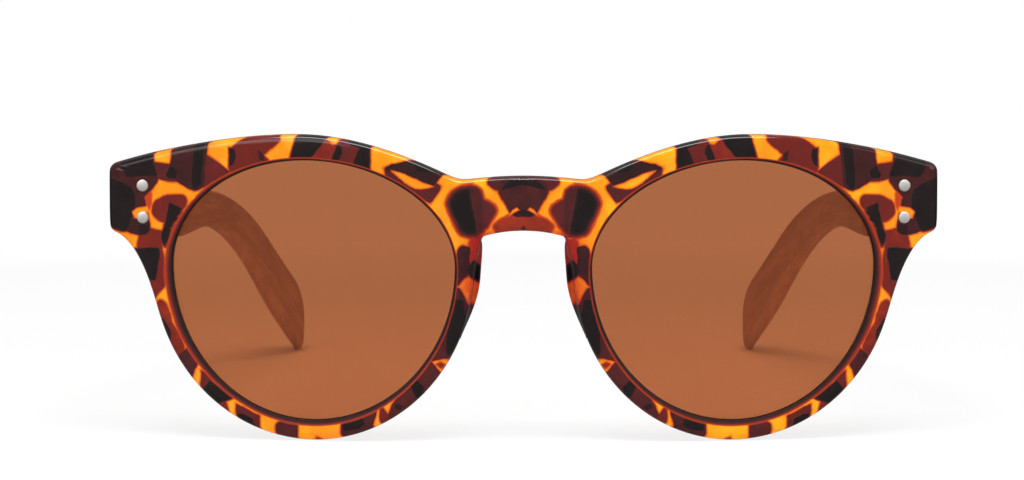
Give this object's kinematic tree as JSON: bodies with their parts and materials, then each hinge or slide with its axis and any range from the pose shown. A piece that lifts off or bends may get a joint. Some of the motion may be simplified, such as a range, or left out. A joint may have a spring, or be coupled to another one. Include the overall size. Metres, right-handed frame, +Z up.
{
  "type": "sunglasses",
  "caption": "Round sunglasses with a tortoiseshell plastic front, brown tinted lenses and folding wooden temples on spring hinges.",
  "frame": {"origin": "on the table, under the middle of the open sunglasses' bounding box", "axes": "+X towards the wearer's left, +Y from the front towards the temple tails, +Z up"},
  "size_m": [0.148, 0.142, 0.0545],
  "materials": {
    "tortoiseshell": "polished, amber with brown and black blotches",
    "lens": "polished, even brown tint",
    "hinge_metal": "satin",
    "rivet_metal": "polished",
    "screw_metal": "satin",
    "spring_steel": "plain",
    "wood": "oiled, fine straight grain"
  },
  "bodies": {
    "front": {"front_frame": "tortoiseshell", "right_lens": "lens", "right_nose_pad": "tortoiseshell", "right_front_hinge": "hinge_metal", "right_front_rivets": "rivet_metal", "right_hinge_screw": "screw_metal", "left_lens": "lens", "left_nose_pad": "tortoiseshell", "left_front_hinge": "hinge_metal", "left_front_rivets": "rivet_metal", "left_hinge_screw": "screw_metal"},
    "right_tongue": {"right_spring_tongue": "hinge_metal", "right_spring_stop": "hinge_metal"},
    "right_temple": {"right_temple": "wood", "right_spring_housing": "hinge_metal", "right_housing_screws": "screw_metal", "right_hinge_spring": "spring_steel"},
    "left_tongue": {"left_spring_tongue": "hinge_metal", "left_spring_stop": "hinge_metal"},
    "left_temple": {"left_temple": "wood", "left_spring_housing": "hinge_metal", "left_housing_screws": "screw_metal", "left_hinge_spring": "spring_steel"}
  },
  "joints": [
    {"name": "right_temple_fold", "type": "hinge", "parent": "front", "child": "right_tongue", "pos_m": [-0.0659, -0.05577, 0.04225], "axis": [0, 0, -1], "range_deg": [-5, 76]},
    {"name": "right_temple_pull", "type": "slide", "parent": "right_tongue", "child": "right_temple", "axis": [0, 1, 0], "range_m": [0, 0.0012], "stiffness_N_per_m": 1000, "springref_m": -0.002, "deforming": ["right_hinge_spring"]},
    {"name": "left_temple_fold", "type": "hinge", "parent": "front", "child": "left_tongue", "pos_m": [0.0659, -0.05577, 0.04225], "axis": [0, 0, 1], "range_deg": [-5, 83]},
    {"name": "left_temple_pull", "type": "slide", "parent": "left_tongue", "child": "left_temple", "axis": [0, 1, 0], "range_m": [0, 0.0012], "stiffness_N_per_m": 1000, "springref_m": -0.002, "deforming": ["left_hinge_spring"]}
  ]
}
